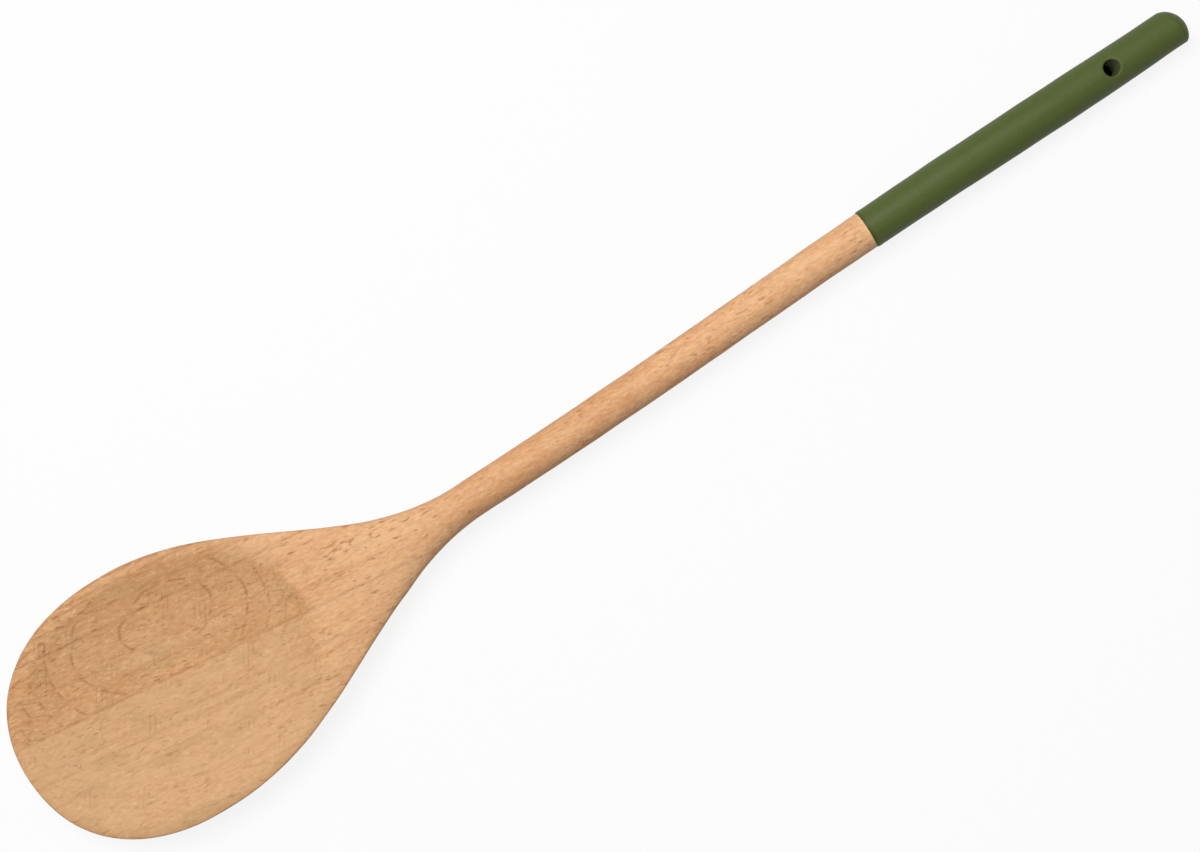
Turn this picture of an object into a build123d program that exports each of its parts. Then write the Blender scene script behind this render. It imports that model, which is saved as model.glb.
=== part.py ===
from build123d import *
import math
import os

# A wooden cooking spoon cut from one piece of beech, with a dipped coat on the end of its handle.
# All lengths are in millimetres. While it is modelled the handle's axis is the X axis: the coated handle
# end is at X = 0, the bowl's tip at X = spoon_length, and the face of the bowl looks up along +Z.

# Sizes of the whole
spoon_length = 350.0

# Sizes of the bare wooden handle, measured from the handle's end
handle_end_diameter = 9.85
handle_thick_diameter = 10.5
handle_thick_place = 38.0
handle_slim_diameter = 9.9
handle_slim_place = 130.0

# The handle isn't quite straight: it wanders this far to each side of its axis, once each way, between
# the place where it crosses the axis and the neck
handle_wander = 0.4
handle_cross_place = 49.5

# The domed butt end, whose crown sits to one side of the handle's axis
dome_sideways = 0.8
dome_margin = 0.45
dome_edge_round = 0.8

# The coat and the hanging hole
coat_thickness = 0.2
coat_length = 96.0
hole_diameter = 4.2
hole_place = 22.8
hole_mouth_bevel = 0.45

# Sizes of the bowl, measured from its tip
bowl_width = 67.1
bowl_widest_place = 40.6
bowl_neck_place = 131.9
bowl_lean = 3.0
lean_start_place = 106.5
lean_end_place = 22.8
face_height = 4.2
face_start_place = 70.0
rim_round = 1.5
back_drop = 8.5
back_deepest_place = 48.0

# The scooped hollow, measured from the bowl's tip, and how high above the face the scooping egg is widest
hollow_depth = 5.5
hollow_side_rim = 2.2
hollow_tip_rim = 2.4
hollow_widest_place = 44.0
hollow_back_place = 83.7
hollow_lift = 16.0

# One overrun for every cut
overrun = 2.0

# Shape values without a length. A fullness of circle_fullness draws a quarter of an ellipse, and a larger
# one draws a squarer quarter. A power of 2 draws an ellipse, and a larger one a blunter oval.
circle_fullness = 0.5523
face_fullness = 0.93
back_fullness = 0.6
flare_power = 1.045
plan_power = 2.25
back_power = 1.9
rim_power = 8.0
hollow_power = 2.5
ellipse_power = 2.0
# The ovals at the front of the bowl stop at this share of their length, which leaves the rim a narrow flat.
tip_share = 0.9995
handle_stations = 14
flare_stations = 11
front_stations = 9
hollow_stations = 9

# Places worked out from the sizes, all measured from the handle's end
neck_x = spoon_length - bowl_neck_place
widest_x = spoon_length - bowl_widest_place
deepest_x = spoon_length - back_deepest_place
face_x = spoon_length - face_start_place
coated_end_radius = handle_end_diameter / 2 + coat_thickness
dome_radius = coated_end_radius + dome_sideways + dome_margin


def clipped(share):
    return min(max(share, 0.0), 1.0)


def blend(low, high, share):
    """Passes from low to high with a level start and a level end."""
    return low + (high - low) * (1 - math.cos(math.pi * clipped(share))) / 2


def oval(share, power):
    """The height of a unit oval at a share of its half length."""
    return (1 - clipped(abs(share)) ** power) ** (1 / power)


def handle_radius(x):
    if x < handle_thick_place:
        diameter = blend(handle_end_diameter, handle_thick_diameter, x / handle_thick_place)
    else:
        share = (x - handle_thick_place) / (handle_slim_place - handle_thick_place)
        diameter = blend(handle_thick_diameter, handle_slim_diameter, share)
    return diameter / 2


def sideways(x):
    """How far the middle of the spoon lies from the handle's axis: the bowl leans towards -Y."""
    if x < neck_x:
        turns = (x - handle_cross_place) / (neck_x - handle_cross_place)
        return -handle_wander * math.sin(2 * math.pi * turns)
    start_x = spoon_length - lean_start_place
    end_x = spoon_length - lean_end_place
    share = clipped((x - start_x) / (end_x - start_x))
    return -bowl_lean * math.sin(share * math.pi / 2)


def front_share(x):
    """The share of the bowl's front ovals at x, from the widest place to the tip."""
    return tip_share * (x - widest_x) / bowl_widest_place


def half_width(x):
    if x <= neck_x:
        return handle_radius(x)
    if x <= widest_x:
        share = (widest_x - x) / (widest_x - neck_x)
        return blend(bowl_width / 2, handle_radius(x), share ** flare_power)
    return bowl_width / 2 * oval(front_share(x), plan_power)


def edge_height(x):
    """Height of the spoon's widest line above the handle's axis."""
    return blend(0, face_height - rim_round, (x - neck_x) / (face_x - neck_x))


def height_above_edge(x):
    height = blend(handle_radius(x), rim_round, (x - neck_x) / (face_x - neck_x))
    if x > widest_x:
        height = height * oval(front_share(x), rim_power)
    return height


def depth_below_edge(x):
    back_level = blend(handle_radius(x), back_drop, (x - neck_x) / (deepest_x - neck_x))
    depth = back_level + edge_height(x)
    if x > deepest_x:
        depth = depth * oval(tip_share * (x - deepest_x) / back_deepest_place, back_power)
    return depth


def quarter(x, middle, level, width, height, fullness):
    """A quarter of a section, from its crown at the middle to its edge at the side."""
    crown = Vector(x, middle, level + height)
    crown_handle = Vector(x, middle + width * fullness, level + height)
    edge_handle = Vector(x, middle + width, level + height * circle_fullness)
    edge = Vector(x, middle + width, level)
    return [crown, crown_handle, edge_handle, edge]


def section(x, middle, level, width, above, below, top_fullness, bottom_fullness):
    """A closed section across the spoon at x, drawn as four curves that meet smoothly."""
    right_top = quarter(x, middle, level, width, above, top_fullness)
    right_bottom = quarter(x, middle, level, width, -below, bottom_fullness)
    left_bottom = quarter(x, middle, level, -width, -below, bottom_fullness)
    left_top = quarter(x, middle, level, -width, above, top_fullness)
    right_bottom.reverse()
    left_top.reverse()
    return Wire([Edge.make_bezier(*points) for points in (right_top, right_bottom, left_bottom, left_top)])


def spoon_section(x, grow):
    share = (x - neck_x) / (face_x - neck_x)
    return section(
        x,
        sideways(x),
        edge_height(x),
        half_width(x) + grow,
        height_above_edge(x) + grow,
        depth_below_edge(x) + grow,
        blend(circle_fullness, face_fullness, share),
        blend(circle_fullness, back_fullness, share),
    )


def spoon_form(grow):
    """The solid spoon before it is hollowed, bored or domed, with every section grown by grow."""
    places = [neck_x * step / handle_stations for step in range(handle_stations)]
    places += [neck_x + (widest_x - neck_x) * step / flare_stations for step in range(flare_stations)]
    places += [
        widest_x + bowl_widest_place * math.sin(math.pi / 2 * step / front_stations)
        for step in range(front_stations + 1)
    ]
    return Solid.make_loft([spoon_section(x, grow) for x in places])


def hollow_form():
    """The egg whose lower part scoops the hollow out of the face."""
    tall = hollow_lift + hollow_depth
    length_share = oval(hollow_lift / tall, hollow_power)
    width_share = oval(hollow_lift / tall, ellipse_power)
    middle_x = spoon_length - hollow_widest_place
    back_reach = (hollow_back_place - hollow_widest_place) / length_share
    tip_reach = (hollow_widest_place - hollow_tip_rim) / length_share
    side_reach = (bowl_width / 2 - hollow_side_rim) / width_share
    level = face_height + hollow_lift
    sections = []
    for step in range(1 - hollow_stations, hollow_stations):
        share = math.sin(math.pi / 2 * step / hollow_stations)
        x = middle_x + share * (tip_reach if step > 0 else back_reach)
        size = oval(share, hollow_power)
        sections.append(
            section(
                x,
                sideways(x),
                level,
                side_reach * size,
                tall * size,
                tall * size,
                circle_fullness,
                circle_fullness,
            )
        )
    back_end = Vertex(middle_x - back_reach, sideways(middle_x - back_reach), level)
    tip_end = Vertex(middle_x + tip_reach, sideways(middle_x + tip_reach), level)
    return Solid.make_loft([back_end] + sections + [tip_end])


def dome_cutter(shrink):
    """What is cut away from the handle to leave its domed end."""
    reach = 2 * (dome_radius + overrun)
    middle = Pos(dome_radius, sideways(0) + dome_sideways, 0)
    block = middle * Box(
        dome_radius + overrun, reach, reach, align=(Align.MAX, Align.CENTER, Align.CENTER)
    )
    return block - middle * Sphere(dome_radius - shrink)


def hole_cutter(radius):
    return Pos(hole_place, sideways(hole_place), 0) * Cylinder(radius, handle_thick_diameter + 2 * overrun)


def cut_and_ease(body, cutter, ease, size):
    """Cuts the cutter away, then rounds or bevels the edges that the cut leaves."""
    cut = body - cutter
    return ease(new_edges(body, cutter, combined=cut), size)


def finished_handle(body, coat_left):
    """Domes the handle's end and bores the hanging hole, with coat_left still to go on every surface."""
    coat_on = coat_thickness - coat_left
    body = cut_and_ease(body, dome_cutter(coat_left), fillet, dome_edge_round + coat_on)
    bore = hole_cutter(hole_diameter / 2 + coat_left)
    return cut_and_ease(body, bore, chamfer, hole_mouth_bevel + coat_on)


def beech_spoon():
    return finished_handle(spoon_form(0) - hollow_form(), coat_thickness)


def handle_coat(wood):
    reach = 2 * bowl_width
    kept_length = Box(coat_length, reach, reach, align=(Align.MIN, Align.CENTER, Align.CENTER))
    envelope = finished_handle(spoon_form(coat_thickness) & kept_length, 0)
    return envelope - wood


def at_rest(piece):
    """Lays the spoon down on the back of its bowl and the end of its handle."""
    drop = back_drop - coated_end_radius
    tilt = math.degrees(math.atan2(drop, deepest_x - dome_radius))
    return Rot(0, -tilt, 0) * piece


bare_wood = beech_spoon()
pieces = {"beech_spoon": at_rest(bare_wood), "handle_coat": at_rest(handle_coat(bare_wood))}
whole = Compound(list(pieces.values())).bounding_box()
origin = Pos(-whole.center().X, -whole.center().Y, -whole.min.Z)

os.makedirs("parts", exist_ok=True)
for name, piece in pieces.items():
    placed = origin * piece
    export_step(placed, f"parts/{name}.step")
    print(name, "solids", len(placed.solids()), "volume", round(placed.volume), placed.bounding_box())
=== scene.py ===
import math

import bmesh
import bpy
import numpy as np
from mathutils import Matrix, Vector


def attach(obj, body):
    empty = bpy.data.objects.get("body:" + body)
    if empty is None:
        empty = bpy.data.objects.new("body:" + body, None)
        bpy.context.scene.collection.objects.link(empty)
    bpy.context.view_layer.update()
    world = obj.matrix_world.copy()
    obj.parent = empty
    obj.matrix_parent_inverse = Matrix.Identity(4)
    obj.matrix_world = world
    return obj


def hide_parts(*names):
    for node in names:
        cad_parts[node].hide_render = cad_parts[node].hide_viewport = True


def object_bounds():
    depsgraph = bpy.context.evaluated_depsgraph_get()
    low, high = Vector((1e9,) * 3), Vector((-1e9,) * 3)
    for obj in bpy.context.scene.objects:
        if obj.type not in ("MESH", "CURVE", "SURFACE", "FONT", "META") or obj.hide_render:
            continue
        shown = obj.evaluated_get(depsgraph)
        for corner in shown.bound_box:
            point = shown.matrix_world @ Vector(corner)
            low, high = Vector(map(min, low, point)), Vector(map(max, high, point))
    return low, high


# A wooden spoon with a dipped handle end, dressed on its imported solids. All lengths are in metres.
# The two pieces are first drawn with the handle's axis as the X axis, the coated handle end at X = 0 and the
# face of the bowl up along +Z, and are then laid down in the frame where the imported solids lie.

# Sizes of the wooden form, as in the solids
spoon_length = 0.350
handle_end_diameter = 0.00985
handle_thick_diameter = 0.0105
handle_thick_place = 0.038
handle_slim_diameter = 0.0099
handle_slim_place = 0.130
handle_wander = 0.0004
handle_cross_place = 0.0495
bowl_width = 0.0671
bowl_widest_place = 0.0406
bowl_neck_place = 0.1319
bowl_lean = 0.003
lean_start_place = 0.1065
lean_end_place = 0.0228
face_height = 0.0042
face_start_place = 0.070
rim_round = 0.0015
back_drop = 0.0085
back_deepest_place = 0.048
hollow_depth = 0.0055
hollow_side_rim = 0.0022
hollow_tip_rim = 0.0024
hollow_widest_place = 0.044
hollow_back_place = 0.0837
hollow_lift = 0.016

# The domed end, the coat and the hanging hole, as in the solids
dome_sideways = 0.0008
dome_margin = 0.00045
coat_thickness = 0.0002
coat_length = 0.096
hole_radius = 0.0021
hole_place = 0.0228
hole_mouth_bevel = 0.00045

# How far the rounding of the domed end's edge reaches
dome_round = 0.0006

# What the solids leave out: the coat's rounded and slightly wavy edge, the sanded softness of the hollow's
# edge on its two sides, and the slight unevenness of a hand-finished surface
coat_edge_round = 0.00035
coat_bead = 0.00004
coat_bead_place = 0.0009
coat_bead_length = 0.0005
coat_wave = 0.00025
coat_ripples = 3
crisp_edge = 0.0003
sanded_edge = 0.0012
sanded_side = 0.006
uneven_height = 0.000018
uneven_lengths = (0.013, 0.021, 0.034)
uneven_across = 0.019

# What the points in the hollow are marked with, and over what height below the face that mark sets in, on the
# hollow's crisp side and on its sanded side
hollow_mark = "hollow"
crisp_passage = 0.0001
slow_passage = 0.0022

# Shape values without a length, as in the solids
circle_fullness = 0.5523
face_fullness = 0.93
back_fullness = 0.6
flare_power = 1.045
plan_power = 2.25
back_power = 1.9
rim_power = 8.0
hollow_power = 2.5
ellipse_power = 2.0

# How finely the pieces are drawn
quarter_columns = 60
edge_crowding = 0.5
curve_steps = 240
edge_passes = 3
dome_rings = 9
round_rings = 5
join_rings = 8
join_place = 0.008
coat_end_rings = 18
coat_end_reach = 0.006
bore_rings = 6
mouth_rings = 6
patch_rings = 5
patch_reach = 0.0036
hole_near = 0.0042
ring_gap_handle = 0.0016
ring_gap_hole = 0.0004
ring_gap_bowl = 0.0006
front_rings = 72

# The camera, above the spoon, with the handle's end at the upper right of the picture. It looks square onto
# the plane of the spoon's edges, which rises from the handle's end to the bowl's tip
camera_distance = 0.558
camera_aim = (0.0049, 0.0058, 0.0085)
camera_lens = 66.0
camera_turn = math.radians(214.03)
edge_rise = math.radians(1.08)

# Places worked out from the sizes, measured from the handle's end
neck_x = spoon_length - bowl_neck_place
widest_x = spoon_length - bowl_widest_place
deepest_x = spoon_length - back_deepest_place
face_x = spoon_length - face_start_place
hollow_x = spoon_length - hollow_widest_place
coated_end_radius = handle_end_diameter / 2 + coat_thickness
dome_radius = coated_end_radius + dome_sideways + dome_margin
mouth_radius = hole_radius + coat_thickness + hole_mouth_bevel
columns = 4 * quarter_columns

# Where the coat's edge lies in the frame, whose middle is the middle of the spoon
coat_edge_x = coat_length - spoon_length / 2


def blend(low, high, share):
    """Passes from low to high with a level start and a level end."""
    return low + (high - low) * (1 - np.cos(math.pi * np.clip(share, 0, 1))) / 2


def oval(share, power):
    """The height of a unit oval at a share of its half length."""
    return (1 - np.clip(np.abs(share), 0, 1) ** power) ** (1 / power)


def handle_radius(x):
    thick = blend(handle_end_diameter, handle_thick_diameter, x / handle_thick_place)
    share = (x - handle_thick_place) / (handle_slim_place - handle_thick_place)
    slim = blend(handle_thick_diameter, handle_slim_diameter, share)
    return np.where(x < handle_thick_place, thick, slim) / 2


def sideways(x):
    """How far the middle of the spoon lies from the handle's axis."""
    turns = (x - handle_cross_place) / (neck_x - handle_cross_place)
    wander = -handle_wander * np.sin(2 * math.pi * turns)
    share = (x - spoon_length + lean_start_place) / (lean_start_place - lean_end_place)
    lean = -bowl_lean * np.sin(np.clip(share, 0, 1) * math.pi / 2)
    return np.where(x < neck_x, wander, lean)


def half_width(x):
    share = np.clip((widest_x - x) / (widest_x - neck_x), 0, 1)
    flare = blend(bowl_width / 2, handle_radius(x), share ** flare_power)
    front = bowl_width / 2 * oval((x - widest_x) / bowl_widest_place, plan_power)
    return np.where(x <= widest_x, flare, front)


def edge_height(x):
    """Height of the spoon's widest line above the handle's axis."""
    return blend(0, face_height - rim_round, (x - neck_x) / (face_x - neck_x))


def height_above_edge(x):
    height = blend(handle_radius(x), rim_round, (x - neck_x) / (face_x - neck_x))
    front = oval((x - widest_x) / bowl_widest_place, rim_power)
    return np.where(x > widest_x, height * front, height)


def depth_below_edge(x):
    depth = blend(handle_radius(x), back_drop, (x - neck_x) / (deepest_x - neck_x)) + edge_height(x)
    front = oval((x - deepest_x) / back_deepest_place, back_power)
    return np.where(x > deepest_x, depth * front, depth)


def unevenness(x, y):
    """The low waves that turning and sanding by hand leave on a surface."""
    waves = 0
    for order, length in enumerate(uneven_lengths):
        waves = waves + np.sin(2 * math.pi * (x / length + y / uneven_across) + order)
    return uneven_height * waves


def hollow_level(x, y):
    """Height of the egg that scoops the hollow."""
    tall = hollow_lift + hollow_depth
    length_share = oval(hollow_lift / tall, hollow_power)
    width_share = oval(hollow_lift / tall, ellipse_power)
    back_reach = (hollow_back_place - hollow_widest_place) / length_share
    tip_reach = (hollow_widest_place - hollow_tip_rim) / length_share
    side_reach = (bowl_width / 2 - hollow_side_rim) / width_share
    reach = np.where(x > hollow_x, tip_reach, back_reach)
    size = oval((x - hollow_x) / reach, hollow_power)
    width = np.maximum(side_reach * size, hollow_side_rim)
    return face_height + hollow_lift - tall * size * oval((y - sideways(x)) / width, ellipse_power)


def softly_lower(first, second, softness):
    """The lower of two heights, with a rounded passage from one to the other."""
    near = np.clip(softness - np.abs(first - second), 0, None) / softness
    return np.minimum(first, second) - near ** 2 * softness / 4


def quarter_curve(parameter, width, height, fullness):
    """How far across and how far up a point of a section's quarter lies."""
    rest = 1 - parameter
    across = 3 * rest ** 2 * parameter * fullness + 3 * rest * parameter ** 2 + parameter ** 3
    up = rest ** 3 + 3 * rest ** 2 * parameter + 3 * rest * parameter ** 2 * circle_fullness
    return width * across, height * up


def spaced_parameters(width, height, fullness):
    """Curve parameters that space a quarter's points by their distance, closer together near its edge."""
    fine = np.linspace(0, 1, curve_steps)
    across, up = quarter_curve(fine, width, height, fullness)
    length = np.concatenate(([0], np.cumsum(np.hypot(np.diff(across), np.diff(up)))))
    step = np.linspace(0, 1, quarter_columns + 1)
    share = step * (1 + edge_crowding) - edge_crowding * step ** 2
    return np.interp(share, length / length[-1], fine)


def all_round(top, bottom):
    """One ring's values, from a top and a bottom quarter that both run from the crown to the edge."""
    return np.concatenate((top[:-1], bottom[:0:-1], bottom[:-1], top[:0:-1]))


def ring_signs():
    """For every column, whether it lies on the right or the left, and on the top or the bottom."""
    quarter = np.arange(columns) // quarter_columns
    side = np.where(quarter < 2, 1, -1)
    top = (quarter == 0) | (quarter == 3)
    return side, top


def skin(x, grow):
    """Points of the spoon's surface, for rings by columns of places along the spoon."""
    middle_x = x.mean(axis=1)
    share = (middle_x - neck_x) / (face_x - neck_x)
    top_fullness = blend(circle_fullness, face_fullness, share)
    bottom_fullness = blend(circle_fullness, back_fullness, share)
    width, above, below = half_width(middle_x), height_above_edge(middle_x), depth_below_edge(middle_x)
    parameter = np.array([
        all_round(spaced_parameters(wide, high, top), spaced_parameters(wide, low, bottom))
        for wide, high, low, top, bottom in zip(width, above, below, top_fullness, bottom_fullness)
    ])
    side, top = ring_signs()
    fullness = np.where(top, top_fullness[:, None], bottom_fullness[:, None])
    height = np.where(top, height_above_edge(x), depth_below_edge(x))
    across, up = quarter_curve(parameter, half_width(x), height, fullness)
    y = sideways(x) + side * across
    extra = grow + unevenness(x, y)
    across, up = quarter_curve(parameter, half_width(x) + extra, height + extra, fullness)
    y = sideways(x) + side * across
    z = edge_height(x) + np.where(top, up, -up)
    softness = blend(crisp_edge, sanded_edge, (y - sideways(x)) / sanded_side)
    floor = hollow_level(x, y) + unevenness(x, y)
    z = np.where(top, softly_lower(z, floor, softness), z)
    return np.stack((x, y, z), axis=-1)


def butt_x(y, z, shrink):
    """Where the ball of the domed end lies at y and z."""
    ball = dome_radius - shrink
    off_middle = (y - sideways(0) - dome_sideways) ** 2 + z ** 2
    return dome_radius - np.sqrt(ball ** 2 - off_middle)


def butt_end(grow, shrink):
    """Rings over the domed end and its rounded edge, and where that edge ends in each column."""
    parameter = spaced_parameters(handle_end_diameter, handle_end_diameter, circle_fullness)
    across, up = quarter_curve(parameter, 1, 1, circle_fullness)
    side, top = ring_signs()
    across = side * all_round(across, across)
    up = np.where(top, 1, -1) * all_round(up, up)
    # The edge's place and the handle's radius there depend on each other
    edge_x = np.zeros(columns)
    for attempt in range(edge_passes):
        radius = handle_radius(edge_x) + grow + unevenness(edge_x, 0)
        edge_x = butt_x(sideways(0) + radius * across, radius * up, shrink)

    def on_dome(out):
        return butt_x(sideways(0) + out * across, out * up, shrink)

    inner = radius - dome_round
    dome_outs = [inner * ring / dome_rings for ring in range(1, dome_rings + 1)]
    profile = [(out, on_dome(out)) for out in dome_outs]
    inner_x = on_dome(inner)
    for ring in range(1, round_rings):
        share = ring / round_rings
        start, middle, end = (1 - share) ** 2, 2 * share * (1 - share), share ** 2
        out = start * inner + (middle + end) * radius
        profile.append((out, start * inner_x + middle * edge_x + end * (edge_x + dome_round)))
    rings = [np.stack((x, sideways(x) + out * across, out * up), axis=-1) for out, x in profile]
    return np.array(rings), edge_x + dome_round


def stretch(start, end, gap):
    """Places from start up to end, about a gap apart, without the end itself."""
    return np.linspace(start, end, max(1, round((end - start) / gap)), endpoint=False)


def handle_places(start_x, end_x):
    """Ring places from the domed end's edge, which differs in each column, along the handle to end_x."""
    join_share = np.arange(join_rings)[:, None] / join_rings
    joined = start_x + (join_place - start_x) * join_share
    plain = np.concatenate((
        stretch(join_place, hole_place - hole_near, ring_gap_handle),
        stretch(hole_place - hole_near, hole_place + hole_near, ring_gap_hole),
        stretch(hole_place + hole_near, end_x, ring_gap_handle),
    ))
    return np.concatenate((joined, np.repeat(plain[:, None], columns, axis=1)))


class Piece:
    """Points and faces that are collected for one mesh."""

    def __init__(self):
        self.points = []
        self.faces = []

    def add(self, points):
        """Keeps the points and returns their numbers, in the same arrangement."""
        first = len(self.points)
        flat = points.reshape(-1, 3)
        self.points.extend(flat)
        return np.arange(first, first + len(flat)).reshape(points.shape[:-1])

    def band(self, first, second):
        """Faces between two closed loops of point numbers."""
        for here, there in zip(range(len(first)), np.roll(range(len(first)), -1)):
            self.faces.append((first[here], first[there], second[there], second[here]))

    def fan(self, middle, loop):
        """Faces from one point to a closed loop."""
        for here, there in zip(loop, np.roll(loop, -1)):
            self.faces.append((middle, here, there))

    def bored_bands(self, rows, points, grow, radius):
        """Faces over all rings, with the hanging hole cut through them."""
        along = np.abs(points[:, 0, 0] - hole_place)
        rings = np.flatnonzero(along < patch_reach)
        first_ring, last_ring = rings[0], rings[-1]
        from_crown = np.abs(points[first_ring, :quarter_columns, 1] - sideways(hole_place))
        reach = int(np.flatnonzero(from_crown < patch_reach)[-1])
        cut = {
            (ring, (half + offset) % columns)
            for half in (0, columns // 2)
            for ring in range(first_ring, last_ring)
            for offset in range(-reach, reach)
        }
        for ring, (near, far) in enumerate(zip(rows, rows[1:])):
            for column in range(columns):
                if (ring, column) not in cut:
                    after = (column + 1) % columns
                    self.faces.append((near[column], near[after], far[after], far[column]))
        border = [(first_ring, offset) for offset in range(-reach, reach)]
        border += [(ring, reach) for ring in range(first_ring, last_ring)]
        border += [(last_ring, -offset) for offset in range(-reach, reach)]
        border += [(ring, -reach) for ring in range(last_ring, first_ring, -1)]
        top = [(ring, offset % columns) for ring, offset in border]
        bottom = [(ring, (columns // 2 - offset) % columns) for ring, offset in border]
        loops = self.mouth(rows, points, top, 1, grow, radius)
        far_loops = self.mouth(rows, points, bottom, -1, grow, radius)
        here, there = self.points_of(loops[-1]), self.points_of(far_loops[-1])
        for ring in range(1, bore_rings):
            loops.append(self.add(here + (there - here) * ring / bore_rings))
        loops += far_loops[::-1]
        for first, second in zip(loops, loops[1:]):
            self.band(first, second)

    def points_of(self, numbers):
        return np.array([self.points[number] for number in numbers])

    def mouth(self, rows, points, border, up, grow, radius):
        """Loops from the square cut in the skin to the round hole, over the hole's rounded mouth."""
        outer = np.array([points[place] for place in border])
        middle = np.array([hole_place, float(sideways(hole_place))])
        direction = outer[:, :2] - middle
        direction = direction / np.linalg.norm(direction, axis=1)[:, None]
        loops = [np.array([rows[ring][column] for ring, column in border])]

        def level(plan):
            surface = handle_radius(plan[:, 0]) + grow + unevenness(plan[:, 0], plan[:, 1])
            return np.sqrt(surface ** 2 - (plan[:, 1] - sideways(plan[:, 0])) ** 2)

        for ring in range(1, patch_rings + 1):
            round_plan = middle + mouth_radius * direction
            plan = outer[:, :2] + (round_plan - outer[:, :2]) * ring / patch_rings
            loops.append(self.add(np.column_stack((plan, up * level(plan)))))
        ease = mouth_radius - radius
        for ring in range(1, mouth_rings + 1):
            turn = math.pi / 2 * ring / mouth_rings
            plan = middle + (mouth_radius - ease * math.sin(turn)) * direction
            drop = ease * (1 - math.cos(turn))
            loops.append(self.add(np.column_stack((plan, up * (level(plan) - drop)))))
        return loops

    def object(self, name):
        mesh = bpy.data.meshes.new(name)
        mesh.from_pydata([tuple(point) for point in self.points], [], self.faces)
        work = bmesh.new()
        work.from_mesh(mesh)
        bmesh.ops.recalc_face_normals(work, faces=work.faces)
        work.to_mesh(mesh)
        work.free()
        mesh.polygons.foreach_set("use_smooth", [True] * len(mesh.polygons))
        piece = bpy.data.objects.new(name, mesh)
        bpy.context.scene.collection.objects.link(piece)
        return piece


def add_butt(piece, grow, shrink):
    """Adds the middle of the domed end. Returns its number, the end's rings and where the handle starts."""
    rings, start_x = butt_end(grow, shrink)
    middle_y = float(sideways(0))
    tip_x = float(butt_x(middle_y, 0.0, shrink))
    middle = piece.add(np.array([[tip_x, middle_y, 0.0]]))[0]
    return middle, rings, start_x


def spoon_piece():
    """The beech spoon, with the hollow, the domed end and the bore that the coat lines."""
    piece = Piece()
    middle, butt, start_x = add_butt(piece, 0, coat_thickness)
    bowl = np.concatenate((
        stretch(neck_x, widest_x, ring_gap_bowl),
        widest_x + bowl_widest_place * np.sin(math.pi / 2 * np.arange(front_rings) / front_rings),
    ))
    places = np.concatenate((handle_places(start_x, neck_x), np.repeat(bowl[:, None], columns, axis=1)))
    points = np.concatenate((butt, skin(places, 0)))
    rows = piece.add(points)
    tip_y, tip_z = float(sideways(spoon_length)), float(edge_height(spoon_length))
    tip = piece.add(np.array([[spoon_length, tip_y, tip_z]]))[0]
    piece.fan(middle, rows[0])
    piece.bored_bands(rows, points, 0, hole_radius + coat_thickness)
    piece.fan(tip, rows[-1])
    return piece.object("spoon_wood")


def mark_hollow(piece):
    """Marks how far each point lies in the scooped hollow, for the wood's colour: the hollow's painted shade
    beside the face's painted light, and the cutter's marks.
    """
    points = np.empty(len(piece.data.vertices) * 3)
    piece.data.vertices.foreach_get("co", points)
    x, y, z = points.reshape(-1, 3).T
    passage = blend(crisp_passage, slow_passage, (y - sideways(x)) / sanded_side)
    inside = blend(0, 1, (face_height - z) / passage)
    scooped = np.abs(z - hollow_level(x, y)) < sanded_edge
    mark = piece.data.attributes.new(hollow_mark, "FLOAT", "POINT")
    mark.data.foreach_set("value", np.where(scooped, inside, 0))


def coat_end_x():
    """Where the coat's slightly wavy edge runs in each column."""
    angle = 2 * math.pi * np.arange(columns) / columns
    return coat_length + coat_wave * (np.cos(angle) + np.sin(coat_ripples * angle) / coat_ripples)


def coat_grow(x, end_x):
    """The coat's thickness, with a low bead before its rounded edge."""
    edge = oval(np.clip(1 - (end_x - x) / coat_edge_round, 0, 1), ellipse_power)
    bead = coat_bead * np.exp(-((end_x - coat_bead_place - x) / coat_bead_length) ** 2)
    return edge * (coat_thickness + bead)


def coat_piece():
    """The dipped coat: its outside and its inside, joined along its edge on the handle."""
    piece = Piece()
    end_x = coat_end_x()
    share = 1 - (1 - np.arange(1, coat_end_rings + 1)[:, None] / coat_end_rings) ** 2
    outside = (coat_thickness, 0, hole_radius)
    inside = (0, coat_thickness, hole_radius + coat_thickness)
    edges = []
    for grow, shrink, radius in (outside, inside):
        middle, butt, start_x = add_butt(piece, grow, shrink)
        places = handle_places(start_x, coat_length - coat_end_reach)
        places = np.concatenate((places, places[-1] + (end_x - places[-1]) * share))
        thickness = coat_grow(places, end_x) if grow else 0
        points = np.concatenate((butt, skin(places, thickness)))
        rows = piece.add(points)
        piece.fan(middle, rows[0])
        piece.bored_bands(rows, points, grow, radius)
        edges.append(rows[-1])
    piece.band(*edges)
    return piece.object("coat_skin")


def lay_down(pieces, box):
    """Rests the pieces on the bowl's back and the handle's end, in the middle of the solids' box."""
    tilt = math.atan2(back_drop - coated_end_radius, deepest_x - dome_radius)
    turn = Matrix.Rotation(-tilt, 4, "Y")
    for piece in pieces:
        piece.data.transform(turn)
    corners = [vertex.co for piece in pieces for vertex in piece.data.vertices]
    low = Vector([min(corner[axis] for corner in corners) for axis in range(3)])
    high = Vector([max(corner[axis] for corner in corners) for axis in range(3)])
    shift = (Vector(box[0]) + Vector(box[1]) - low - high) / 2
    shift.z = box[0][2] - low.z
    for piece in pieces:
        piece.data.transform(Matrix.Translation(shift))


# How a screen's colour numbers, which run up to screen_full, turn into amounts of light
screen_full = 255
dark_limit = 0.04045
dark_divisor = 12.92
light_offset = 0.055
light_power = 2.4


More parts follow.
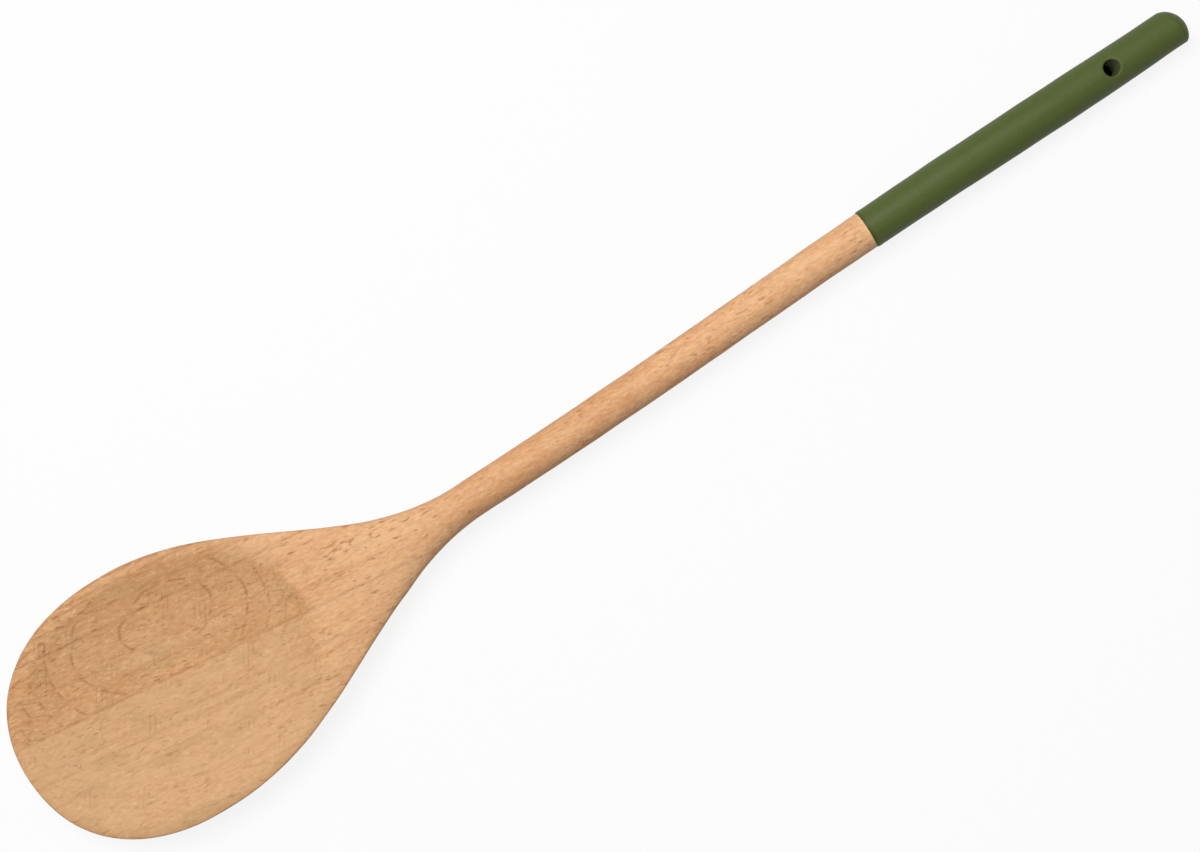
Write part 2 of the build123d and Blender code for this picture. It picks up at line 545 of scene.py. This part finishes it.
def linear(red, green, blue):
    """A colour as it is seen on a screen, as the amounts of light that a material takes."""
    def channel(value):
        share = value / screen_full
        if share <= dark_limit:
            return share / dark_divisor
        return ((share + light_offset) / (1 + light_offset)) ** light_power
    return (channel(red), channel(green), channel(blue), 1.0)


pure_white = linear(screen_full, screen_full, screen_full)
pure_black = linear(0, 0, 0)

# How many finer layers of noise are laid over the first one, and how strong each is beside the one before
little_detail = 1.0
usual_detail = 2.0
most_detail = 3.0
usual_fineness = 0.5

# Where the node that mixes two colours has its share, its two colours and its result
mix_inputs = (0, 6, 7)
mix_output = 2


class Tree:
    """A material's nodes, added and linked by short calls."""

    def __init__(self, name):
        self.material = bpy.data.materials.new(name)
        self.material.use_nodes = True
        self.tree = self.material.node_tree
        self.tree.nodes.clear()

    def add(self, kind, inputs=None, **settings):
        node = self.tree.nodes.new("ShaderNode" + kind)
        for name, value in settings.items():
            setattr(node, name, value)
        for socket, value in (inputs or {}).items():
            self.put(node.inputs[socket], value)
        return node

    def put(self, socket, value):
        if isinstance(value, bpy.types.NodeSocket):
            self.tree.links.new(value, socket)
        else:
            socket.default_value = value

    def math(self, operation, *values):
        inputs = dict(enumerate(values))
        return self.add("Math", inputs, operation=operation).outputs[0]

    def times(self, *values):
        result = values[0]
        for value in values[1:]:
            result = self.math("MULTIPLY", result, value)
        return result

    def plus(self, *values):
        result = values[0]
        for value in values[1:]:
            result = self.math("ADD", result, value)
        return result

    def place(self):
        """Where a point of the surface lies in the frame."""
        return self.add("TexCoord").outputs["Object"]

    def parts(self, vector):
        outputs = self.add("SeparateXYZ", {0: vector}).outputs
        return outputs[0], outputs[1], outputs[2]

    def scaled(self, vector, amount):
        return self.add("VectorMath", {0: vector, "Scale": amount}, operation="SCALE").outputs[0]

    def drawn_out(self, x, y, z, size):
        """A place counted in sizes, of which the first lies along X and the second across it."""
        along, across = 1 / size[0], 1 / size[1]
        scaled = {"X": self.times(x, along), "Y": self.times(y, across), "Z": self.times(z, across)}
        return self.add("CombineXYZ", scaled).outputs[0]

    def noise(self, place, detail=little_detail, fineness=usual_fineness):
        """Smooth noise, from -1 to 1."""
        inputs = {"Vector": place, "Scale": 1.0, "Detail": detail, "Roughness": fineness}
        value = self.add("TexNoise", inputs, noise_dimensions="3D").outputs[0]
        return self.math("MULTIPLY_ADD", value, 2.0, -1.0)

    def step(self, value, start, end, low=0.0, high=1.0):
        """Passes smoothly from low to high as the value goes from start to end."""
        inputs = {"Value": value, "From Min": start, "From Max": end, "To Min": low, "To Max": high}
        return self.add("MapRange", inputs, interpolation_type="SMOOTHSTEP").outputs[0]

    def mix(self, share, first, second):
        node = self.add("Mix", data_type="RGBA")
        for place, value in zip(mix_inputs, (share, first, second)):
            self.put(node.inputs[place], value)
        return node.outputs[mix_output]

    def finish(self, colour, roughness, specular, height, bump):
        """The finished material, from its colour, its gloss and the height of its relief."""
        strength, depth = bump
        relief = self.add("Bump", {"Strength": strength, "Distance": depth, "Height": height}).outputs[0]
        inputs = {
            "Base Color": colour,
            "Roughness": roughness,
            "Normal": relief,
            "Specular IOR Level": specular,
        }
        return self.output(self.add("BsdfPrincipled", inputs).outputs[0])

    def output(self, shader):
        self.add("OutputMaterial", {"Surface": shader})
        return self.material


# The beech. Its places are the frame's, where the handle's end lies towards -X. Its fibres turn slightly in
# plan from the handle to the bowl, and sway a little
grain_slope = 0.1064
grain_bend = 0.166
fibre_sway = 0.0007
fibre_sway_size = (0.045, 0.012)

# Where the bowl's own marks begin and are full along X, and where the redder side of the bowl begins and is
# full across the grain
bowl_zone = (0.080, 0.105)
redder_band = (0.0152, 0.0138)

# Growth rings: how far apart their sheets lie, the height of one of them, how they tilt across the spoon, how
# they rise along X, Y and Z, and where in a ring its dark line lies
ring_gap = 0.00114
ring_height = 0.00045
ring_tilt = 0.17
ring_rise = (0.024, ring_tilt, 1.0)
ring_line_place = 0.5

# The dark lines of the rings: how far from its middle a line begins and is full, the least slope that counts
# for its width, its strength, its share of that outside the redder side, and the noise that breaks it off
ring_line = (0.00062, 0.00008)
ring_least_slope = 0.04
ring_line_strength = 0.50
ring_line_outside = 0.25
ring_break_size = 0.0045
ring_break = (-0.30, 0.08)

# The folds in which the rings turn down, each with its place across the grain, the number of rings that turn,
# its half width and its darkness
ring_folds = (
    (-0.0141, -2, 0.0006, 0.70),
    (-0.0094, -2, 0.0010, 0.55),
    (-0.0046, -3, 0.0007, 1.00),
    (0.0051, 1, 0.0008, 0.35),
    (0.0092, 1, 0.0010, 0.35),
    (0.0146, 2, 0.0007, 0.80),
    (0.0235, 1, 0.0009, 0.40),
    (0.0262, 2, 0.0009, 0.45),
    (0.0322, 1, 0.0010, 0.35),
)

# The product of a passage's share and of what is left of it, at its greatest
fold_peak = 0.25

# How strongly the folds colour the wood, their least darkness between the dashes that they break into, the
# noise at which those begin and are full, and where along X the folds begin and are full
fold_strength = 0.55
fold_ground = 0.45
fold_dash_range = (-0.10, 0.30)
fold_zone = (0.045, 0.075)

# Sizes of the streaks, flecks and patches, along the grain and across it
short_fibre = (0.0019, 0.0007)
long_fibre = (0.0120, 0.0010)
fold_dash = (0.0038, 0.0012)
ray_dash = (0.0024, 0.00084)
bold_dash = (0.0040, 0.0012)
painted_highlight_speck = (0.0012, 0.00075)
mottle = (0.0060, 0.0030)
olive_mottle = (0.0110, 0.0050)
broad_streak = (0.070, 0.0045)
plain_patch = (0.015, 0.008)
large_patch = 0.026
fibre_fineness = 0.6

# The noise at which the dashes, the specks of painted highlight and the patches begin and are full, and the
# share of the flecks that a plain patch keeps
ray_dash_range = (0.20, 0.46)
painted_highlight_speck_range = (0.24, 0.50)
olive_range = (0.05, 0.45)
plain_range = (-0.35, 0.25)
plain_least = 0.35

# The bold dashes: the share of cells that hold one in the bowl and on the handle, the distances in a cell at
# which one is full and at which it ends, how faint one may be, and how much it is bent
bold_dash_share = (0.14, 0.34)
bold_dash_core = 0.12
bold_dash_outline = 0.36
bold_dash_least = 0.3
bold_dash_bend = 0.8

# Marks of the cutter across the hollow: how far apart they lie, how they lean, the size of the patches that
# have them, from which height of a wave one begins, and the noise at which a patch begins and is full
cutter_gap = 0.0016
cutter_lean = -0.65
cutter_patch = 0.006
cutter_width = 0.40
cutter_places = (0.20, 0.40)

# How strongly each kind of mark colours the wood
marks_in_bowl = 0.62
marks_in_band = 0.30
ray_dash_strength = 0.55
bold_dash_strength = 0.70
painted_highlight_strength = 0.40
olive_strength = 0.35
cutter_strength = 0.17
fibre_in_bowl = 0.17
fibre_in_band = 0.07
fibre_on_handle = 0.24
long_fibre_strength = 0.04

# What makes the wood redder, and by how much. The slim part of the handle is redder than its two ends
redness_broad = 0.30
redness_ring = 0.10
redness_patch = 0.45
redness_mottle = 0.30
redness_fibre = -0.45
redness_band = 0.33
redness_slim = 0.42
slim_start = (-0.060, -0.020)
slim_end = (0.025, 0.060)

# The face between the bowl and the handle is paler than the bowl, partly in the wood's own tone and partly as
# painted light, and the handle's far half is the palest: where each begins and is full along X, and the share
# of the paleness that the first one has
face_tone_and_painted_light = (0.106, 0.090)
far_pale = (0.000, -0.026)
face_tone_and_painted_light_share = 0.62

# Beside the coat's edge the bare wood is paler: how far from the edge that begins and is full
bare_band = (0.0011, 0.0003)
bare_strength = 0.35

# The wood's colours, and those of its marks
beech_pale = linear(221, 173, 125)
beech_red = linear(205, 144, 92)
# handle_pale and handle_red also carry the face's painted light
handle_pale = linear(242, 190, 141)
handle_red = linear(226, 156, 104)
beech_olive = linear(196, 156, 104)
beech_bare = linear(244, 209, 158)
# A pale colour painted on specks as highlights, where light would catch raised flecks
speck_painted_highlight = linear(238, 200, 158)
fleck_brown = linear(160, 98, 55)
late_wood = linear(168, 110, 66)

# How high each kind of mark stands in the wood's relief, the relief's strength and depth, and the gloss
relief_fibre = 0.4
relief_dash = 0.9
relief_cutter = -0.8
relief_fold = -0.4
wood_bump = (0.45, 0.00009)
wood_roughness = 0.60
rougher_fibre = 0.08
rougher_dash = 0.10
wood_specular = 0.25


class Grain:
    """Places along and across the wood's fibres, and the parts of the spoon where marks differ."""

    def __init__(self, tree):
        self.tree = tree
        self.place = tree.place()
        self.x, self.y, self.z = tree.parts(self.place)
        sway = tree.noise(tree.drawn_out(self.x, self.y, self.z, fibre_sway_size), usual_detail)
        bend = tree.times(self.x, tree.plus(tree.times(self.x, grain_bend), grain_slope))
        self.across = tree.plus(self.y, bend, tree.times(sway, fibre_sway))
        mark = tree.add("Attribute", attribute_name=hollow_mark, attribute_type="GEOMETRY")
        self.hollow = mark.outputs["Fac"]
        self.in_bowl = tree.step(self.x, *bowl_zone)
        self.in_band = tree.times(tree.step(self.across, *redder_band), self.in_bowl)

    def along(self, size):
        """A place counted in sizes, of which the first lies along the fibres and the second across them."""
        return self.tree.drawn_out(self.x, self.across, self.z, size)

    def streaks(self, size, detail=little_detail, fineness=usual_fineness):
        """Noise that is drawn out along the fibres."""
        return self.tree.noise(self.along(size), detail, fineness)

    def patches(self, size, detail=little_detail):
        """Noise of the same size all ways."""
        return self.tree.noise(self.tree.scaled(self.place, 1 / size), detail)


def folded_rings(tree, grain):
    """The count of growth rings up to a point, and how dark the folds are in which they turn down."""
    level = tree.plus(grain.z, tree.times(grain.across, ring_tilt))
    dark = 0.0
    for where, rings, half, darkness in ring_folds:
        turn = tree.step(grain.across, where - half, where + half)
        level = tree.plus(level, tree.times(turn, rings * ring_gap))
        peak = tree.times(turn, tree.math("SUBTRACT", 1.0, turn), darkness / fold_peak)
        dark = tree.math("MAXIMUM", peak, dark)
    dashes = tree.step(grain.streaks(fold_dash), *fold_dash_range, fold_ground, 1.0)
    dark = tree.times(dark, dashes, tree.step(grain.x, *fold_zone))
    ring = tree.times(tree.math("SUBTRACT", level, ring_height), 1 / ring_gap)
    return ring, dark


def ring_lines(tree, grain, ring):
    """Dark lines where the rings reach the surface, of one width however steeply it cuts them."""
    normal = tree.add("NewGeometry").outputs["Normal"]
    slope = tree.add("VectorMath", {0: normal, 1: ring_rise}, operation="CROSS_PRODUCT").outputs[0]
    slope = tree.add("VectorMath", {0: slope}, operation="LENGTH").outputs["Value"]
    from_line = tree.plus(tree.math("FRACT", ring), -ring_line_place)
    away = tree.times(tree.math("ABSOLUTE", from_line), ring_gap)
    away = tree.math("DIVIDE", away, tree.math("MAXIMUM", slope, ring_least_slope))
    broken = tree.step(grain.patches(ring_break_size), *ring_break)
    seen = tree.plus(tree.times(grain.in_band, 1.0 - ring_line_outside), ring_line_outside)
    return tree.times(tree.step(away, *ring_line), broken, seen, grain.in_bowl)


def fleck_strength(tree, grain):
    """How strongly the ray flecks show: less in the bowl, and less still in plain patches."""
    strength = tree.plus(
        tree.times(grain.in_bowl, marks_in_bowl - 1.0),
        1.0,
        tree.times(grain.in_band, marks_in_band),
    )
    plain = tree.step(grain.streaks(plain_patch), *plain_range, plain_least, 1.0)
    return tree.times(plain, strength)


def bold_dashes(tree, grain, strength):
    """The few bold ray flecks, each in a cell of its own."""
    turns = tree.add("TexNoise", {"Vector": grain.along(short_fibre), "Scale": 1.0}).outputs["Color"]
    inputs = {0: turns, 1: (bold_dash_bend,) * 3, 2: grain.along(bold_dash)}
    bent = tree.add("VectorMath", inputs, operation="MULTIPLY_ADD").outputs[0]
    cells = tree.add("TexVoronoi", {"Vector": bent, "Scale": 1.0}, feature="F1")
    chance = tree.add("SeparateColor", {0: cells.outputs["Color"]}).outputs
    bold = tree.step(cells.outputs["Distance"], bold_dash_core, bold_dash_outline, 1.0, 0.0)
    in_bowl, on_handle = bold_dash_share
    share = tree.plus(tree.times(grain.in_bowl, in_bowl - on_handle), on_handle)
    bold = tree.times(bold, tree.math("LESS_THAN", chance[0], share), strength)
    return tree.times(bold, tree.plus(tree.times(chance[1], 1.0 - bold_dash_least), bold_dash_least))


def cutter_marks(tree, grain):
    """Marks that the cutter left across the grain in some patches of the hollow."""
    place = tree.plus(grain.x, tree.times(grain.y, cutter_lean))
    marks = tree.math("SINE", tree.times(place, 2 * math.pi / cutter_gap))
    marks = tree.step(marks, cutter_width, 1.0)
    return tree.times(marks, tree.step(grain.patches(cutter_patch), *cutter_places), grain.hollow)


def plain_wood(tree, grain, ring, short):
    """The wood's colour without its lines and flecks, with painted light on the face and painted shade in the
    hollow.
    """
    # The first step is the face's paleness, partly the wood's tone and partly painted light; the second is
    # the far half's own tone
    paleness_and_painted_light = tree.step(grain.x, *face_tone_and_painted_light, 0.0, face_tone_and_painted_light_share)
    paleness_and_painted_light = tree.plus(paleness_and_painted_light, tree.step(grain.x, *far_pale, 0.0, 1 - face_tone_and_painted_light_share))
    # The hollow is left out of that paleness and stays darker: painted shade in the hollow
    paleness_and_painted_light = tree.times(paleness_and_painted_light, tree.math("SUBTRACT", 1.0, grain.hollow))
    pale = tree.mix(paleness_and_painted_light, beech_pale, handle_pale)
    red = tree.mix(paleness_and_painted_light, beech_red, handle_red)
    ring_tone = tree.add("TexWhiteNoise", {"W": tree.math("FLOOR", ring)}, noise_dimensions="1D").outputs[0]
    slim = tree.times(tree.step(grain.x, *slim_start), tree.step(grain.x, *slim_end, 1.0, 0.0))
    redness = tree.plus(
        tree.times(grain.streaks(broad_streak, usual_detail), redness_broad),
        tree.times(ring_tone, redness_ring),
        tree.times(grain.patches(large_patch, usual_detail), redness_patch),
        tree.times(grain.streaks(mottle, usual_detail), redness_mottle),
        tree.times(short, redness_fibre),
        tree.times(grain.in_band, redness_band),
        tree.times(slim, redness_slim),
    )
    colour = tree.mix(tree.math("MAXIMUM", redness, 0.0), pale, red)
    olive = tree.step(grain.streaks(olive_mottle), *olive_range)
    colour = tree.mix(tree.times(olive, olive_strength, grain.in_bowl), colour, beech_olive)
    far, near = bare_band
    bare = tree.step(grain.x, coat_edge_x + far, coat_edge_x + near, 0.0, bare_strength)
    return tree.mix(bare, colour, beech_bare)


def beech_material():
    tree = Tree("beech_wood")
    grain = Grain(tree)
    ring, folds = folded_rings(tree, grain)
    lines = ring_lines(tree, grain, ring)
    short = grain.streaks(short_fibre, usual_detail, fibre_fineness)
    long = grain.streaks(long_fibre, usual_detail)
    strength = fleck_strength(tree, grain)
    dashes = tree.times(tree.step(grain.streaks(ray_dash), *ray_dash_range), strength)
    bold = bold_dashes(tree, grain, strength)
    # Specks of painted highlight, standing in for light caught by raised flecks
    painted_highlight_specks = tree.step(grain.streaks(painted_highlight_speck), *painted_highlight_speck_range)
    cuts = cutter_marks(tree, grain)

    colour = plain_wood(tree, grain, ring, short)
    for mark, mark_strength, mark_colour in (
        (lines, ring_line_strength, late_wood),
        (folds, fold_strength, late_wood),
        (painted_highlight_specks, painted_highlight_strength, speck_painted_highlight),
        (dashes, ray_dash_strength, fleck_brown),
        (bold, bold_dash_strength, fleck_brown),
    ):
        colour = tree.mix(tree.times(mark, mark_strength), colour, mark_colour)
    fibre = tree.plus(
        tree.times(grain.in_bowl, fibre_in_bowl - fibre_on_handle),
        fibre_on_handle,
        tree.times(grain.in_band, fibre_in_band),
    )
    tone = tree.plus(
        1.0,
        tree.times(short, fibre),
        tree.times(long, long_fibre_strength),
        tree.times(cuts, -cutter_strength),
    )
    height = tree.plus(
        tree.times(short, relief_fibre),
        tree.times(dashes, relief_dash),
        tree.times(bold, relief_dash),
        tree.times(cuts, relief_cutter),
        tree.times(folds, relief_fold),
    )
    roughness = tree.plus(wood_roughness, tree.times(short, rougher_fibre), tree.times(dashes, rougher_dash))
    return tree.finish(tree.scaled(colour, tone), roughness, wood_specular, height, wood_bump)


# The dipped coat: two greens, the share of the darker one, and how much its speckle and streaks change that
coat_olive = linear(92, 105, 54)
coat_dark = linear(80, 94, 42)
coat_dark_share = 0.5
coat_speckle_size = 0.0007
coat_speckle_share = 0.45
coat_streak = (0.030, 0.0012)
coat_streak_share = 0.35

# Towards its edge on the wood the coat is thinner and browner: how far from the edge that begins and is full
coat_thin = linear(72, 70, 28)
coat_thin_band = (0.0010, 0.0002)
coat_thin_strength = 0.6

# The coat's relief, with the relief's strength and depth, and its gloss
relief_speckle = 0.5
coat_bump = (0.25, 0.00005)
coat_roughness = 0.52
rougher_speckle = 0.06
coat_specular = 0.26


def coat_material():
    tree = Tree("olive_coat")
    place = tree.place()
    x, y, z = tree.parts(place)
    speckle = tree.noise(tree.scaled(place, 1 / coat_speckle_size), usual_detail)
    streak = tree.noise(tree.drawn_out(x, y, z, coat_streak), usual_detail)
    share = tree.plus(
        coat_dark_share,
        tree.times(speckle, coat_speckle_share),
        tree.times(streak, coat_streak_share),
    )
    colour = tree.mix(share, coat_olive, coat_dark)
    far, near = coat_thin_band
    thin = tree.step(x, coat_edge_x - far, coat_edge_x - near, 0.0, coat_thin_strength)
    colour = tree.mix(thin, colour, coat_thin)
    height = tree.plus(tree.times(speckle, relief_speckle), streak)
    roughness = tree.plus(coat_roughness, tree.times(speckle, rougher_speckle))
    return tree.finish(colour, roughness, coat_specular, height, coat_bump)


# The floor: its size, its own colours, the colour that the camera sees, and how much of that shines by itself
floor_size = 6.0
floor_white = linear(190, 190, 192)
floor_shade = linear(186, 186, 188)
floor_seen = linear(246, 246, 247)
floor_shown_white = 0.87

# A painted shadow on the little of the floor that is seen through the hanging hole, which would get no light
# there:
# how far from under the hole it lies along X, its place along Y, and the distances at which its painted
# darkness begins to fade and ends
hole_painted_shadow_shift = -0.0016
hole_painted_shadow_y = 0.0031
hole_painted_shadow_reach = (0.0020, 0.0024)


def floor_material():
    """A white floor that the camera sees nearly white, with the spoon's shadow on it and a painted shadow
    where the hanging hole shows it.
    """
    tree = Tree("studio_floor")
    path = tree.add("LightPath").outputs
    seen = tree.math("MAXIMUM", path["Is Camera Ray"], path["Is Glossy Ray"])
    seen = tree.math("MAXIMUM", seen, path["Is Transmission Ray"])
    place = tree.place()
    paper = tree.mix(tree.noise(place, most_detail), floor_white, floor_shade)
    colour = tree.mix(seen, paper, floor_seen)
    # A painted shadow: under the hanging hole the floor is painted black and shines no white
    under_hole = (hole_place - spoon_length / 2 + hole_painted_shadow_shift, hole_painted_shadow_y, 0.0)
    distance = tree.add("VectorMath", {0: place, 1: under_hole}, operation="DISTANCE").outputs["Value"]
    strength = tree.step(distance, *hole_painted_shadow_reach)
    lit = tree.add("BsdfDiffuse", {"Color": tree.mix(strength, pure_black, colour)}).outputs[0]
    shining = tree.add("Emission", {"Color": pure_white, "Strength": strength}).outputs[0]
    share = tree.times(seen, floor_shown_white)
    return tree.output(tree.add("MixShader", {0: share, 1: lit, 2: shining}).outputs[0])


def add_floor():
    half = floor_size / 2
    corners = [(-half, -half, 0), (half, -half, 0), (half, half, 0), (-half, half, 0)]
    mesh = bpy.data.meshes.new("studio_floor")
    mesh.from_pydata(corners, [], [range(len(corners))])
    floor = bpy.data.objects.new("studio_floor", mesh)
    bpy.context.scene.collection.objects.link(floor)
    floor.data.materials.append(floor_material())


# The lamp is broad, and hangs over the picture's upper left. Its power is in watts
lamp_place = (0.07, -0.36, 0.88)
lamp_size = 0.55
lamp_power = 7.4
room_light = 0.22


def add_lamp():
    lamp = bpy.data.lights.new("main_lamp", "AREA")
    lamp.shape = "DISK"
    lamp.size = lamp_size
    lamp.energy = lamp_power
    holder = bpy.data.objects.new("main_lamp", lamp)
    holder.location = lamp_place
    holder.rotation_euler = (-Vector(lamp_place)).to_track_quat("-Z", "Y").to_euler()
    bpy.context.scene.collection.objects.link(holder)


def add_room():
    world = bpy.data.worlds.new("studio")
    world.use_nodes = True
    background = world.node_tree.nodes["Background"]
    background.inputs["Color"].default_value = pure_white
    background.inputs["Strength"].default_value = room_light
    bpy.context.scene.world = world


def add_camera():
    camera = bpy.data.cameras.new("camera")
    camera.lens = camera_lens
    holder = bpy.data.objects.new("camera", camera)
    back = Matrix.Translation((0, 0, camera_distance))
    turn = Matrix.Rotation(-edge_rise, 4, "Y") @ Matrix.Rotation(-camera_turn, 4, "Z")
    holder.matrix_world = Matrix.Translation(camera_aim) @ turn @ back
    bpy.context.scene.collection.objects.link(holder)
    bpy.context.scene.camera = holder


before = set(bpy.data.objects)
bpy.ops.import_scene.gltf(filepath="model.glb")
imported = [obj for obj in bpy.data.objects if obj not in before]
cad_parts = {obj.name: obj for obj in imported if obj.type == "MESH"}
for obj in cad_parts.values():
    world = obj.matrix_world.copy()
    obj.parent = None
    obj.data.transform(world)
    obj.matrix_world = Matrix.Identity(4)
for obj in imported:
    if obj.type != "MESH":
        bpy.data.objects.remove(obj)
cad_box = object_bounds()
bpy.context.scene.view_settings.view_transform = "Standard"

wood = spoon_piece()
mark_hollow(wood)
coat = coat_piece()
lay_down([wood, coat], cad_box)
for piece, node, slot, material in (
    (wood, "beech_spoon", "beech", beech_material()),
    (coat, "handle_coat", "green_coat", coat_material()),
):
    piece.data.materials.append(material)
    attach(piece, "root")
    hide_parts(node)

add_floor()
add_room()
add_lamp()
add_camera()
